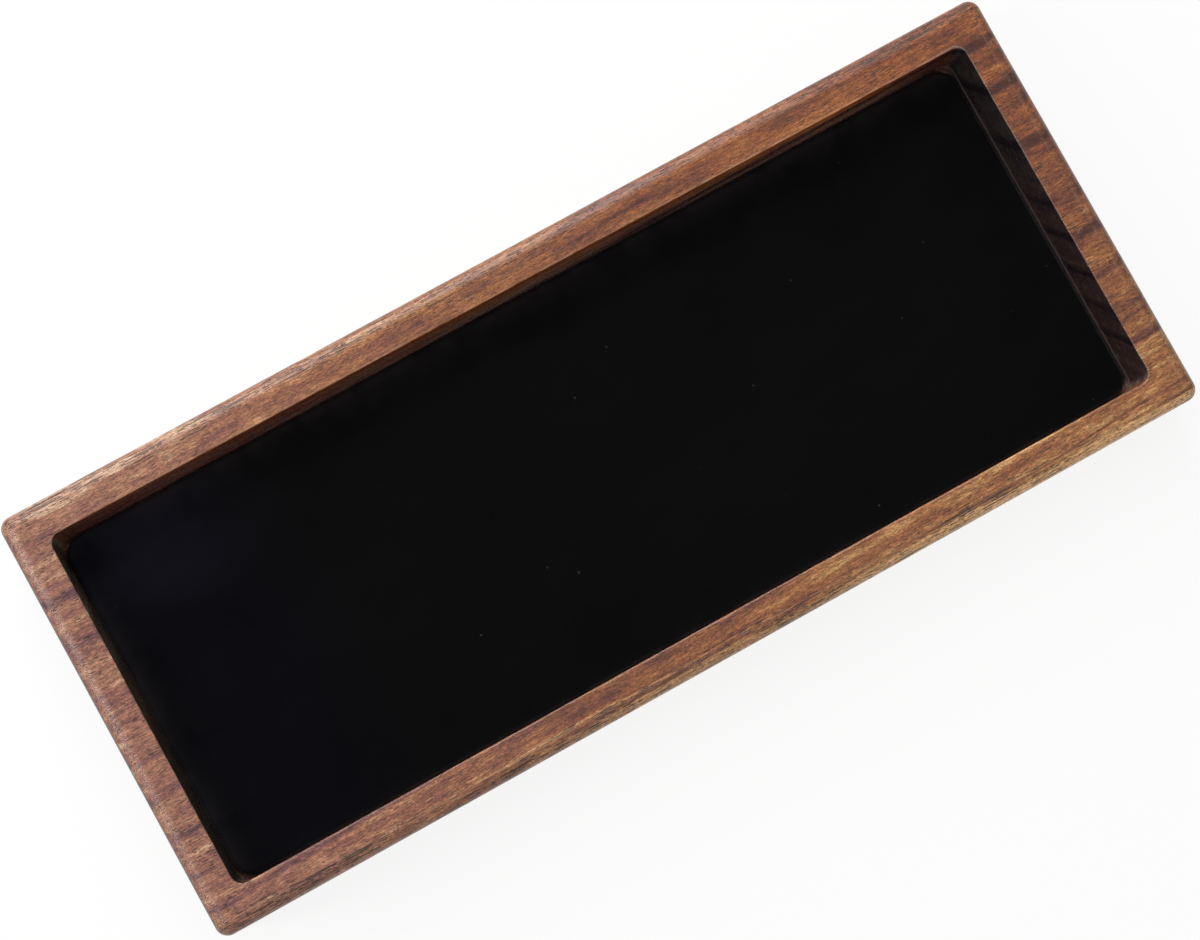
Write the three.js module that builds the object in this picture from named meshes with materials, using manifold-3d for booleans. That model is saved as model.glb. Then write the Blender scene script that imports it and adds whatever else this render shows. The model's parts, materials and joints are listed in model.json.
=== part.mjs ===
// Open desk tray for papers and keepsakes. A walnut block has one milled pocket. A card wrapped in
// velvet lines the pocket floor, held down by two strips of tape, and four rubber feet sit in
// recesses below.
// Millimetres. +X runs along the tray, +Y to its back and +Z up. The origin is under the centre of
// the tray, at the level of the feet.

import * as THREE from 'three';
import { mergeVertices } from 'three/addons/utils/BufferGeometryUtils.js';
import Module from 'manifold-3d';

// Tray body
const trayLength = 240;
const trayWidth = 100;
const trayHeight = 25;
const railWidth = 8.2;
const floorThickness = 5.5;
const outerCornerRadius = 2.8;
const topRoundoverRadius = 3.2;
const bottomRoundoverRadius = 1.5;
const pocketCornerRadius = 2.5;
const lipEaseRadius = 0.4;
const floorFilletRadius = 1;

// Lining
const velvetThickness = 0.5;
const boardThickness = 1;
const liningClearance = 0.2;
const liningCornerRadius = 4.5;
const turnInWidth = 12;
const boardEdgeClearance = 0.3;
const mitreSlitWidth = 0.4;
const tapeEndInset = 8;
const tapeSideInset = 6;
const tapeMiddleGap = 16;

// Feet
const footRadius = 6;
const footProudHeight = 1;
const footRecessDepth = 1;
const footRecessClearance = 0.3;
const footEdgeRadius = 0.6;
const footDraft = 0.25;
const footInset = 15;

// Shared by all cuts and corners
const cutOverrun = 0.5;
const leastCornerRadius = 0.1;

// How finely the curves are cut
const outerCornerSteps = 10;
const roundoverSteps = 10;
const bottomRoundoverSteps = 5;
const lipSteps = 4;
const filletSteps = 6;
const rollSteps = 8;
const footSides = 32;
const footEdgeSteps = 4;

// Sizes that follow from the ones above
const pocketLength = trayLength - 2 * railWidth;
const pocketWidth = trayWidth - 2 * railWidth;
const liningLength = pocketLength - 2 * liningClearance;
const liningWidth = pocketWidth - 2 * liningClearance;
const liningThickness = boardThickness + 2 * velvetThickness;
const bareCardWidth = liningWidth - 2 * turnInWidth;
const tapeWidth = (bareCardWidth - 2 * tapeSideInset - tapeMiddleGap) / 2;
const footHeight = footProudHeight + footRecessDepth;

const quarterTurn = Math.PI / 2;

const wasm = await Module();
wasm.setup();

const walnut = new THREE.MeshStandardMaterial({ color: 0x7e5d45, roughness: 0.55, metalness: 0 });
const velvet = new THREE.MeshStandardMaterial({ color: 0x0c0c0e, roughness: 1, metalness: 0 });
const greyCard = new THREE.MeshStandardMaterial({ color: 0x8c8980, roughness: 0.9, metalness: 0 });
const tapeWhite = new THREE.MeshStandardMaterial({ color: 0xd8d4c8, roughness: 0.7, metalness: 0 });
const rubberBlack = new THREE.MeshStandardMaterial({ color: 0x1c1c1c, roughness: 0.8, metalness: 0 });

// Points of an arc in a side profile, from one angle to another. Each point is a distance in from
// the side and a height.
function profileArc(centreInset, centreHeight, radius, startAngle, endAngle, steps) {
  const points = [];
  for (let step = 0; step <= steps; step += 1) {
    const angle = startAngle + (endAngle - startAngle) * (step / steps);
    points.push({
      inset: centreInset - radius * Math.cos(angle),
      height: centreHeight + radius * Math.sin(angle),
    });
  }
  return points;
}

// The corner radius of a rounded rectangle that is moved in by an inset. It stays concentric with
// the first corner for as long as that corner has a radius left.
function insetRadius(radius, inset) {
  return Math.max(radius - inset, leastCornerRadius);
}

// One level ring: a rounded rectangle, anticlockwise from above, with the same number of points
// whatever its size.
function ringPoints(length, width, radius, height) {
  const corners = [
    [1, -1, -quarterTurn],
    [1, 1, 0],
    [-1, 1, quarterTurn],
    [-1, -1, 2 * quarterTurn],
  ];
  const points = [];
  for (const [alongSign, acrossSign, startAngle] of corners) {
    const centreX = alongSign * (length / 2 - radius);
    const centreY = acrossSign * (width / 2 - radius);
    for (let step = 0; step <= outerCornerSteps; step += 1) {
      const angle = startAngle + quarterTurn * (step / outerCornerSteps);
      points.push(new THREE.Vector3(
        centreX + radius * Math.cos(angle),
        centreY + radius * Math.sin(angle),
        height,
      ));
    }
  }
  return points;
}

// The rings of a side profile that runs round one rounded rectangle.
function profileRings(profile, length, width, radius) {
  return profile.map(({ inset, height }) => ringPoints(
    length - 2 * inset,
    width - 2 * inset,
    insetRadius(radius, inset),
    height,
  ));
}

// A closed solid through level rings, taken from its lower or inner end cap outwards. Both end caps
// are fans about the middle of their ring.
function loftGeometry(rings) {
  const count = rings[0].length;
  const corners = rings.flat();
  const firstCentre = corners.length;
  const lastCentre = firstCentre + 1;
  corners.push(new THREE.Vector3(0, 0, rings[0][0].z));
  corners.push(new THREE.Vector3(0, 0, rings[rings.length - 1][0].z));
  const faces = [];
  for (let side = 0; side < count; side += 1) {
    const next = (side + 1) % count;
    faces.push(firstCentre, next, side);
    for (let ring = 0; ring + 1 < rings.length; ring += 1) {
      const here = ring * count;
      const there = here + count;
      faces.push(here + side, here + next, there + next);
      faces.push(here + side, there + next, there + side);
    }
    const last = (rings.length - 1) * count;
    faces.push(lastCentre, last + side, last + next);
  }
  const geometry = new THREE.BufferGeometry();
  geometry.setFromPoints(corners);
  geometry.setIndex(faces);
  return geometry;
}

// A solid made ready for a cut.
function solidOf(geometry) {
  const plain = geometry.clone();
  plain.deleteAttribute('normal');
  plain.deleteAttribute('uv');
  const merged = mergeVertices(plain);
  return new wasm.Manifold(new wasm.Mesh({
    numProp: 3,
    vertProperties: new Float32Array(merged.attributes.position.array),
    triVerts: new Uint32Array(merged.index.array),
  }));
}

// One geometry with a list of others cut away from it.
function cutGeometry(geometry, cutters) {
  let solid = solidOf(geometry);
  for (const cutter of cutters) {
    solid = solid.subtract(solidOf(cutter));
  }
  const mesh = solid.getMesh();
  const result = new THREE.BufferGeometry();
  result.setAttribute('position', new THREE.BufferAttribute(new Float32Array(mesh.vertProperties), 3));
  result.setIndex(new THREE.BufferAttribute(new Uint32Array(mesh.triVerts), 1));
  return result;
}

// The four places of the feet, with a name for each.
function footPlaces() {
  const places = [];
  for (const [row, acrossSign] of [['front', -1], ['back', 1]]) {
    for (const [side, alongSign] of [['left', -1], ['right', 1]]) {
      places.push({
        name: `foot_${row}_${side}`,
        x: alongSign * (trayLength / 2 - footInset),
        y: acrossSign * (trayWidth / 2 - footInset),
      });
    }
  }
  return places;
}

// The block and its pocket in one loft: up the outside, over the rim, down the pocket wall and
// through the fillet to the pocket floor.
function trayBodyGeometry() {
  const outside = [
    ...profileArc(bottomRoundoverRadius, bottomRoundoverRadius, bottomRoundoverRadius,
      -quarterTurn, 0, bottomRoundoverSteps),
    ...profileArc(topRoundoverRadius, trayHeight - topRoundoverRadius, topRoundoverRadius,
      0, quarterTurn, roundoverSteps),
  ];
  const inside = [
    ...profileArc(-lipEaseRadius, trayHeight - lipEaseRadius, lipEaseRadius,
      quarterTurn, 2 * quarterTurn, lipSteps),
    ...profileArc(floorFilletRadius, floorThickness + floorFilletRadius, floorFilletRadius,
      0, -quarterTurn, filletSteps),
  ];
  const blank = loftGeometry([
    ...profileRings(outside, trayLength, trayWidth, outerCornerRadius),
    ...profileRings(inside, pocketLength, pocketWidth, pocketCornerRadius),
  ]);
  const recesses = footPlaces().map(({ x, y }) => {
    const recessRadius = footRadius + footRecessClearance;
    const recessHeight = footRecessDepth + cutOverrun;
    const recess = new THREE.CylinderGeometry(recessRadius, recessRadius, recessHeight, footSides);
    recess.rotateX(quarterTurn);
    recess.translate(x, y, footRecessDepth - recessHeight / 2);
    return recess;
  });
  return cutGeometry(blank, recesses);
}

// The velvet, wrapped round the card: its face, its rolled edge, and the turn-ins below, which meet
// in a mitre at each corner.
function velvetGeometry() {
  const middle = liningThickness / 2;
  const innerRadius = boardThickness / 2;
  const profile = [
    ...profileArc(middle, middle, innerRadius, quarterTurn, -quarterTurn, rollSteps),
    { inset: turnInWidth, height: velvetThickness },
    { inset: turnInWidth, height: 0 },
    ...profileArc(middle, middle, middle, -quarterTurn, quarterTurn, rollSteps),
  ];
  const wrap = loftGeometry(profileRings(profile, liningLength, liningWidth, liningCornerRadius));
  return cutGeometry(wrap, mitreSlits());
}

// The four slits where the turn-ins meet, from the inner corner of the turn-ins to the rolled edge.
function mitreSlits() {
  const cornerCut = liningCornerRadius * (1 - Math.SQRT1_2) * Math.SQRT2;
  const farReach = Math.SQRT2 * turnInWidth + cutOverrun;
  const nearReach = cornerCut + liningThickness / 2 + velvetThickness;
  const slitLength = farReach - nearReach;
  const slitHeight = velvetThickness + boardThickness / 2 + cutOverrun;
  const middleReach = (farReach + nearReach) / 2 / Math.SQRT2;
  const slits = [];
  for (const alongSign of [-1, 1]) {
    for (const acrossSign of [-1, 1]) {
      const slit = new THREE.BoxGeometry(slitLength, mitreSlitWidth, slitHeight);
      slit.rotateZ(alongSign * acrossSign * quarterTurn / 2);
      slit.translate(
        alongSign * (liningLength / 2 - middleReach),
        acrossSign * (liningWidth / 2 - middleReach),
        slitHeight / 2 - cutOverrun,
      );
      slits.push(slit);
    }
  }
  return slits;
}

// The card inside the velvet, just clear of the rolled edge.
function boardGeometry() {
  const inset = liningThickness / 2 + boardEdgeClearance;
  const profile = [
    { inset, height: velvetThickness },
    { inset, height: velvetThickness + boardThickness },
  ];
  return loftGeometry(profileRings(profile, liningLength, liningWidth, liningCornerRadius));
}

// One strip of tape between the pocket floor and the card.
function tapeGeometry() {
  const tapeLength = liningLength - 2 * (turnInWidth + tapeEndInset);
  return new THREE.BoxGeometry(tapeLength, tapeWidth, velvetThickness);
}

// A low round foot: slightly drawn in towards its base, with a rounded lower edge.
function footGeometry() {
  const baseRadius = footRadius - footDraft;
  const points = [new THREE.Vector2(0, 0)];
  for (let step = 0; step <= footEdgeSteps; step += 1) {
    const angle = -quarterTurn + quarterTurn * (step / footEdgeSteps);
    points.push(new THREE.Vector2(
      baseRadius - footEdgeRadius + footEdgeRadius * Math.cos(angle),
      footEdgeRadius + footEdgeRadius * Math.sin(angle),
    ));
  }
  points.push(new THREE.Vector2(footRadius, footHeight));
  points.push(new THREE.Vector2(0, footHeight));
  const foot = new THREE.LatheGeometry(points, footSides);
  foot.rotateX(quarterTurn);
  return foot;
}

function namedMesh(name, geometry, material) {
  const mesh = new THREE.Mesh(geometry, material);
  mesh.name = name;
  return mesh;
}

// The lining and the tape under it, with the pocket floor at height 0.
function liningGroup() {
  const group = new THREE.Group();
  group.add(namedMesh('velvet_lining', velvetGeometry(), velvet));
  group.add(namedMesh('lining_board', boardGeometry(), greyCard));
  const tapeY = (tapeMiddleGap + tapeWidth) / 2;
  for (const [row, acrossSign] of [['front', -1], ['back', 1]]) {
    const tape = namedMesh(`tape_${row}`, tapeGeometry(), tapeWhite);
    tape.position.set(0, acrossSign * tapeY, velvetThickness / 2);
    group.add(tape);
  }
  return group;
}

function feetGroup() {
  const group = new THREE.Group();
  for (const { name, x, y } of footPlaces()) {
    const foot = namedMesh(name, footGeometry(), rubberBlack);
    foot.position.set(x, y, 0);
    group.add(foot);
  }
  return group;
}

const tray = new THREE.Group();
const trayBody = namedMesh('tray_body', trayBodyGeometry(), walnut);
trayBody.position.z = footProudHeight;
tray.add(trayBody);

const lining = liningGroup();
lining.position.z = footProudHeight + floorThickness;
tray.add(lining);

tray.add(feetGroup());

export default tray;
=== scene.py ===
"""Blender scene of an open walnut desk tray with a velvet-covered lining.

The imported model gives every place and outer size. This script makes the fine surfaces over it: the
milled walnut block, the velvet wrapped round its card and the moulded feet, with their finishes,
and the studio that they stand in. Lengths are in metres, +X runs along the tray, +Y to its back
and +Z up, with the origin under the centre of the tray at the level of the feet.
"""

from __future__ import annotations

import json
import logging
import math
from collections.abc import Callable, Sequence
from dataclasses import dataclass, field
from enum import Enum

import bpy
import numpy as np
from mathutils import Matrix, Vector
from mathutils.geometry import delaunay_2d_cdt

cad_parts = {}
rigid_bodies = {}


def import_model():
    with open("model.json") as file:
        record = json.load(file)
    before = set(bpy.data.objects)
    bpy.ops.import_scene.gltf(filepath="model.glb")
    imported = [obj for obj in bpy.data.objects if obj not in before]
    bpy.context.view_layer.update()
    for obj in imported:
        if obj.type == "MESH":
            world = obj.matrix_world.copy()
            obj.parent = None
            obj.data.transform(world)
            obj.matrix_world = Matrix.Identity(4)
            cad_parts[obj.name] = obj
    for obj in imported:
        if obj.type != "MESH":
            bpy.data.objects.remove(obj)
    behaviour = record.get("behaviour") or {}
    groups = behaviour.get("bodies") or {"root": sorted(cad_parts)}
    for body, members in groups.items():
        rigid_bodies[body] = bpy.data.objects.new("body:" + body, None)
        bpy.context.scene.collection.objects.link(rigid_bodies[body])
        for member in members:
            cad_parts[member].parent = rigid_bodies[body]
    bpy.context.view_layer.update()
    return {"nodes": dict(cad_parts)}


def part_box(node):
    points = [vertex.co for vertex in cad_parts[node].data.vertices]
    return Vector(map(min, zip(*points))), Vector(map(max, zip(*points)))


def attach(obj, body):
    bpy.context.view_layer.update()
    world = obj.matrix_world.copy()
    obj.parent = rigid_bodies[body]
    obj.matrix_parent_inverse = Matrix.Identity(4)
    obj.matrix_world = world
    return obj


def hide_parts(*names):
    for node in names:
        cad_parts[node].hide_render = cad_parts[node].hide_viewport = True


LOG = logging.getLogger("desk_tray")
MM = 0.001
ROOT = "root"
QUARTER_TURN = math.pi / 2
SMOOTH_ANGLE = math.radians(35)
SAME_POINT = 1e-9
LEAST_TURN = 1e-14
RIPPLE_STRETCH = 1.6
CLOSE_TO_END = 0.02
FIBRE_RANGE = (0.28, 0.72)
SPECK_CORE = 0.4
LEAST_SPECK = 0.4
WHITE = (1.0, 1.0, 1.0)

Socket = bpy.types.NodeSocket
Value = float | Socket
Many = np.ndarray | float
Pair = tuple[float, float]
Colour = tuple[float, float, float]
# Place and colour of each stop on a ramp.
Stops = tuple[tuple[float, Colour], ...]
# Start and end of a smooth change, then the values there unless they are 0 and 1.
Change = tuple[float, ...]
# Two values, for a share of 0 and for a share of 1.
Ends = Pair
# Length along X and width across it.
Grain = Pair
# Spacing of specks, their size and the share of them that shows.
Scatter = tuple[float, float, float]


class Slot(Enum):
    """The record's material slots."""

    WALNUT = "walnut"
    VELVET = "velvet"
    GREY_CARD = "grey_card"
    TAPE = "tape"
    FOOT_RUBBER = "foot_rubber"


def srgb(*levels: int) -> Colour:
    """Linear colour of an 8-bit sRGB one, by the standard's curve."""
    shares = np.array(levels) / 255
    return tuple(np.where(shares <= 0.04045, shares / 12.92, ((shares + 0.055) / 1.055) ** 2.4).tolist())


def grey(value: float) -> Colour:
    """The grey with this value in each channel."""
    return (value, value, value)


def ripple(samples: np.ndarray, waves: Sequence[int], seed: int) -> np.ndarray:
    """A smooth closed ripple: a sum of sines with whole numbers of waves and random phases.

    Each sine is weaker than the first by the root of its order.

    Args:
        samples: Places along the closed line, from 0 to 1.
        waves: How many waves each sine has round the line.
        seed: Seed of the phases.

    Returns:
        Values from about -1 to 1, one for each sample.
    """
    phases = np.random.default_rng(seed).uniform(0, math.tau, len(waves))
    turns = np.outer(samples, waves) * math.tau + phases
    weights = 1 / np.sqrt(np.arange(1, len(waves) + 1))
    return (np.sin(turns) * weights).sum(axis=1) / weights.sum() * RIPPLE_STRETCH


@dataclass(frozen=True)
class Outline:
    """A rounded rectangle, sampled at the same places whatever its inset.

    A point is sign * (half size - inset - radius) + radius * direction. On a corner the sign is
    fixed and the direction turns, and on a side the direction is fixed and the sign runs across.
    """

    half_length: float
    half_width: float
    radius: float
    least_radius: float = 0.15 * MM
    corner_steps: int = 16
    long_steps: int = 132
    short_steps: int = 56

    def samples(self) -> tuple[np.ndarray, np.ndarray]:
        """Places the samples, anticlockwise from the front right corner.

        Returns:
            The sign and the direction of each.
        """
        signs = np.array([[1, -1], [1, 1], [-1, 1], [-1, -1]], float)
        all_signs = []
        all_directions = []
        for corner in range(4):
            angles = QUARTER_TURN * (corner - 1 + np.linspace(0, 1, self.corner_steps + 1))
            bend = np.stack([np.cos(angles), np.sin(angles)], axis=1)
            steps = self.long_steps if corner % 2 else self.short_steps
            across = np.linspace(0, 1, steps + 1)[1:-1, None]
            here, there = signs[corner], signs[(corner + 1) % 4]
            all_signs += [np.tile(here, (len(bend), 1)), here + (there - here) * across]
            all_directions += [bend, np.tile(bend[-1], (len(across), 1))]
        return np.concatenate(all_signs), np.concatenate(all_directions)

    def ring(self, inset: Many) -> np.ndarray:
        """Points of the outline moved in by an inset.

        Args:
            inset: One inset, or one for each sample.

        Returns:
            An array of x and y for each sample.
        """
        signs, directions = self.samples()
        inset = np.broadcast_to(inset, len(signs))[:, None]
        radius = np.maximum(self.radius - inset, self.least_radius)
        half = np.array([self.half_length, self.half_width])
        return signs * (half - inset - radius) + radius * directions

    def travel(self) -> np.ndarray:
        """Measures the outline.

        Returns:
            How far round it each sample lies, from 0 to 1.
        """
        points = self.ring(0)
        steps = np.linalg.norm(np.roll(points, -1, axis=0) - points, axis=1)
        return np.concatenate([[0], np.cumsum(steps)[:-1]]) / steps.sum()

    def corner_middles(self) -> np.ndarray:
        """True at the middle sample of each corner."""
        _, directions = self.samples()
        return np.isclose(np.abs(directions[:, 0]), np.abs(directions[:, 1]))


@dataclass
class Surface:
    """A mesh in the making: points, faces, and each point's share of wear and painted highlight, and its
    depth in the pocket.
    """

    points: list[np.ndarray] = field(default_factory=list)
    wear_and_highlight: list[np.ndarray] = field(default_factory=list)
    depth: list[np.ndarray] = field(default_factory=list)
    faces: list[list[int]] = field(default_factory=list)
    count: int = 0

    def add_points(self, points: np.ndarray, wear_and_highlight: Many = 0.0, depth: Many = 0.0) -> np.ndarray:
        """Adds points.

        Args:
            points: An array that ends in x, y and z.
            wear_and_highlight: The share of wear and painted highlight of each point, or one value for all.
            depth: How deep each point is in the pocket, from 0 to 1, or one value for all.

        Returns:
            The index of each point, in the shape of the array without its last axis.
        """
        shape = points.shape[:-1]
        self.points.append(points.reshape(-1, 3))
        self.wear_and_highlight.append(np.broadcast_to(wear_and_highlight, shape).reshape(-1))
        self.depth.append(np.broadcast_to(depth, shape).reshape(-1))
        first = self.count
        self.count += math.prod(shape)
        return np.arange(first, self.count).reshape(shape)

    def add_bands(self, rows: np.ndarray) -> None:
        """Joins each row of indices to the next by four-sided faces, closed round the rows.

        Args:
            rows: Indices of points, a row for each ring.
        """
        here, there = rows[:-1], rows[1:]
        quads = [here, np.roll(here, -1, axis=1), np.roll(there, -1, axis=1), there]
        self.faces += np.stack(quads, axis=-1).reshape(-1, 4).tolist()

    def add_cap(self, border: np.ndarray, up: bool, holes: Sequence[np.ndarray] = ()) -> None:
        """Fills a level ring with triangles, leaving round holes open.

        Args:
            border: Indices of the ring's points, anticlockwise from above.
            up: Whether the cap faces up.
            holes: Indices of the points round each hole.
        """
        loops = [border, *holes]
        order = np.concatenate(loops)
        flat = np.concatenate(self.points)[order, :2]
        places = np.split(np.arange(len(order)), np.cumsum([len(loop) for loop in loops])[:-1])
        edges = np.concatenate([np.stack([ring, np.roll(ring, -1)], axis=1) for ring in places])
        corners = [Vector(point) for point in flat]
        made = delaunay_2d_cdt(corners, edges.tolist(), [], 0 if holes else 1, SAME_POINT)
        triangles = np.array(made[2])
        middles = flat[triangles].mean(axis=1)
        keep = np.ones(len(triangles), bool)
        for ring in places[1:]:
            centre = flat[ring].mean(axis=0)
            reach = np.linalg.norm(flat[ring] - centre, axis=1).min()
            keep &= np.linalg.norm(middles - centre, axis=1) > reach
        triangles = triangles[keep]
        a, b, c = (flat[triangles[:, corner]] for corner in range(3))
        turn = np.cross(b - a, c - a)
        whole = np.abs(turn) > LEAST_TURN
        triangles = triangles[whole]
        wrong = (turn[whole] > 0) != up
        triangles[wrong] = triangles[wrong][:, ::-1]
        self.faces += order[triangles].tolist()

    def to_object(self, name: str) -> bpy.types.Object:
        """Makes the Blender object, smooth where its faces meet at a low angle.

        Args:
            name: Name of the object and its mesh.

        Returns:
            The object, linked to the scene.
        """
        mesh = bpy.data.meshes.new(name)
        mesh.from_pydata(np.concatenate(self.points).tolist(), [], self.faces)
        mesh.validate()
        mesh.polygons.foreach_set("use_smooth", np.ones(len(mesh.polygons), bool))
        mesh.set_sharp_from_angle(angle=SMOOTH_ANGLE)
        for title, shares in (("wear_and_highlight", self.wear_and_highlight), ("depth", self.depth)):
            layer = mesh.attributes.new(title, "FLOAT", "POINT")
            layer.data.foreach_set("value", np.concatenate(shares).astype(np.float32))
        mesh.update()
        return show(name, mesh)


def show(name: str, data: bpy.types.ID) -> bpy.types.Object:
    """Makes an object and links it to the scene.

    Args:
        name: Name of the object.
        data: Its mesh, light or camera.

    Returns:
        The object.
    """
    made = bpy.data.objects.new(name, data)
    bpy.context.scene.collection.objects.link(made)
    return made


def arc(centre: tuple[Many, Many], radius: Many, turn: Pair, steps: int) -> list[tuple[Many, Many]]:
    """Points of an arc in a side profile.

    A point lies at centre inset - radius * cos(angle) and centre height + radius * sin(angle).

    Args:
        centre: Inset and height of the arc's centre.
        radius: The radius, or one for each sample round the outline.
        turn: First and last angle.
        steps: How many steps the arc has.

    Returns:
        Inset and height of each point.
    """
    return [
        (centre[0] - radius * math.cos(angle), centre[1] + radius * math.sin(angle))
        for angle in np.linspace(*turn, steps + 1)
    ]


def straight(
    start: tuple[Many, Many], end: tuple[Many, Many], shares: Sequence[float]
) -> list[tuple[Many, Many]]:
    """Inset and height of points at start + (end - start) * share in a side profile."""
    steps = [last - first for first, last in zip(start, end)]
    return [(start[0] + steps[0] * share, start[1] + steps[1] * share) for share in shares]


def even(count: int) -> list[float]:
    """Shares that leave a point close to both ends, which keeps the shading of flats true."""
    return [CLOSE_TO_END, *(step / count for step in range(1, count)), 1 - CLOSE_TO_END]


def lifted(flat: np.ndarray, height: Many) -> np.ndarray:
    """Points above places in the plan, at one height or one for each."""
    return np.column_stack(np.broadcast_arrays(*flat.T, height))


def turned(profile: Sequence[Pair], centre: Pair, base: float, steps: int) -> np.ndarray:
    """Carries a profile round an upright axis.

    A point lies at centre + reach * (cos(angle), sin(angle)) and at base + height.

    Args:
        profile: Reach from the axis and height of each ring.
        centre: x and y of the axis.
        base: Where heights start.
        steps: How many points a ring has.

    Returns:
        Points, with a row for each ring.
    """
    angles = np.arange(steps) / steps * math.tau
    circle = np.stack([np.cos(angles), np.sin(angles)], axis=1)
    rings = [lifted(np.array(centre) + reach * circle, base + height) for reach, height in profile]
    return np.stack(rings)


class Graph:
    """A node tree, with short calls that add a node and return its output."""

    def __init__(self, tree: bpy.types.NodeTree) -> None:
        """Keeps the tree that nodes are added to."""
        self.tree = tree

    def join(self, socket: Socket, value: object) -> None:
        """Links a socket to an output, or sets it to a plain value.

        Args:
            socket: The input.
            value: An output, a number, or a vector or colour of three numbers.
        """
        if isinstance(value, Socket):
            self.tree.links.new(value, socket)
        else:
            socket.default_value = (*value, 1.0) if socket.type == "RGBA" else value

    def node(self, kind: str, *given: object, **settings: object) -> bpy.types.Node:
        """Adds a node.

        Args:
            kind: Blender's name of the node's type.
            *given: What its first inputs are joined to, in order.
            **settings: Properties of the node.

        Returns:
            The node.
        """
        made = self.tree.nodes.new(kind)
        for name, value in settings.items():
            setattr(made, name, value)
        for socket, value in zip(made.inputs, given):
            self.join(socket, value)
        return made

    def made(self, kind: str, *given: object, **settings: object) -> Socket:
        """Adds a node in the same way and gives its first output."""
        return self.node(kind, *given, **settings).outputs[0]

    def feed(self, node: bpy.types.Node, **values: object) -> None:
        """Joins inputs of a node by name, with underscores for spaces."""
        for name, value in values.items():
            self.join(node.inputs[name.replace("_", " ")], value)

    def math(self, operation: str, *given: Value) -> Socket:
        """The result of a Math node."""
        return self.made("ShaderNodeMath", *given, operation=operation)

    def times(self, first: Value, second: Value) -> Socket:
        """The product of two numbers."""
        return self.math("MULTIPLY", first, second)

    def stretch(self, vector: Socket, scale: Colour | Socket) -> Socket:
        """A vector times a scale for each axis."""
        return self.made("ShaderNodeVectorMath", vector, scale, operation="MULTIPLY")

    def noise(self, vector: Socket, detail: float = 2.0, roughness: float = 0.5) -> Socket:
        """Noise of scale 1 at a vector.

        Args:
            vector: Where the noise is read.
            detail: Octaves of finer noise.
            roughness: How strong the finer octaves are.

        Returns:
            The noise, mostly from 0.3 to 0.7.
        """
        made = self.node("ShaderNodeTexNoise")
        self.feed(made, Vector=vector, Scale=1.0, Detail=detail, Roughness=roughness)
        return made.outputs[0]

    def noise_along(self, place: Value) -> Socket:
        """Noise of scale 1 that depends on one number only.

        Args:
            place: The number.

        Returns:
            The noise, mostly from 0.3 to 0.7.
        """
        made = self.node("ShaderNodeTexNoise", noise_dimensions="1D")
        self.feed(made, W=place, Scale=1.0, Detail=2.0)
        return made.outputs[0]

    def cells(self, vector: Socket) -> tuple[Socket, list[Socket]]:
        """A loose cloud of points, one to a cell of size 1.

        Args:
            vector: Where the cloud is read.

        Returns:
            Distance to the nearest point, and three random numbers of that point.
        """
        made = self.node("ShaderNodeTexVoronoi")
        self.feed(made, Vector=vector, Scale=1.0)
        return made.outputs["Distance"], self.axes(made.outputs["Color"])

    def remap(self, value: Value, low: Value, high: Value, first: Value = 0.0, last: Value = 1.0) -> Socket:
        """A value taken smoothly from one range to another, and held at its ends."""
        given = (value, low, high, first, last)
        return self.made("ShaderNodeMapRange", *given, interpolation_type="SMOOTHSTEP")

    def between(self, share: Value, ends: Ends) -> Socket:
        """A value that goes smoothly from one end to the other as a share goes from 0 to 1."""
        return self.remap(share, 0.0, 1.0, *ends)

    def mix(self, share: Value, first: object, second: object, blend: str = "MIX") -> Socket:
        """Two colours mixed.

        Args:
            share: Share of the second colour.
            first: First colour.
            second: Second colour.
            blend: Blend type.

        Returns:
            The colour.
        """
        made = self.node("ShaderNodeMix", data_type="RGBA", blend_type=blend)
        self.feed(made, Factor=share, A=first, B=second)
        return made.outputs["Result"]

    def shade(self, colour: object, factor: Value) -> Socket:
        """A colour times a number.

        Args:
            colour: The colour.
            factor: The number.

        Returns:
            The colour.
        """
        made = self.node("ShaderNodeVectorMath", colour, operation="SCALE")
        self.feed(made, Scale=factor)
        return made.outputs[0]

    def axes(self, vector: Socket) -> list[Socket]:
        """The three numbers of a vector or a colour."""
        return list(self.node("ShaderNodeSeparateXYZ", vector).outputs)

    def share_of(self, name: str) -> Socket:
        """A share that the mesh keeps for each point."""
        return self.node("ShaderNodeAttribute", attribute_name=name).outputs["Fac"]

    def lean(self, value: Value, target: Value, share: Value) -> Socket:
        """A value drawn towards another by a share: value + (target - value) * share."""
        return self.math("ADD", value, self.times(self.math("SUBTRACT", target, value), share))

    def sway(self, value: Value, noise: Value, reach: float) -> Socket:
        """A value moved up and down by noise about 0.5, as far as a reach at 0 and 1."""
        return self.math("ADD", self.math("SUBTRACT", value, reach), self.times(noise, 2 * reach))

    def ramp(self, value: Value, stops: Stops) -> Socket:
        """A colour ramp.

        Args:
            value: Place on the ramp.
            stops: Place and colour of each stop.

        Returns:
            The colour.
        """
        made = self.node("ShaderNodeValToRGB", value)
        elements = made.color_ramp.elements
        while len(elements) < len(stops):
            elements.new(0.5)
        for element, (place, colour) in zip(elements, stops):
            element.position = place
            element.color = (*colour, 1.0)
        return made.outputs[0]


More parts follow.
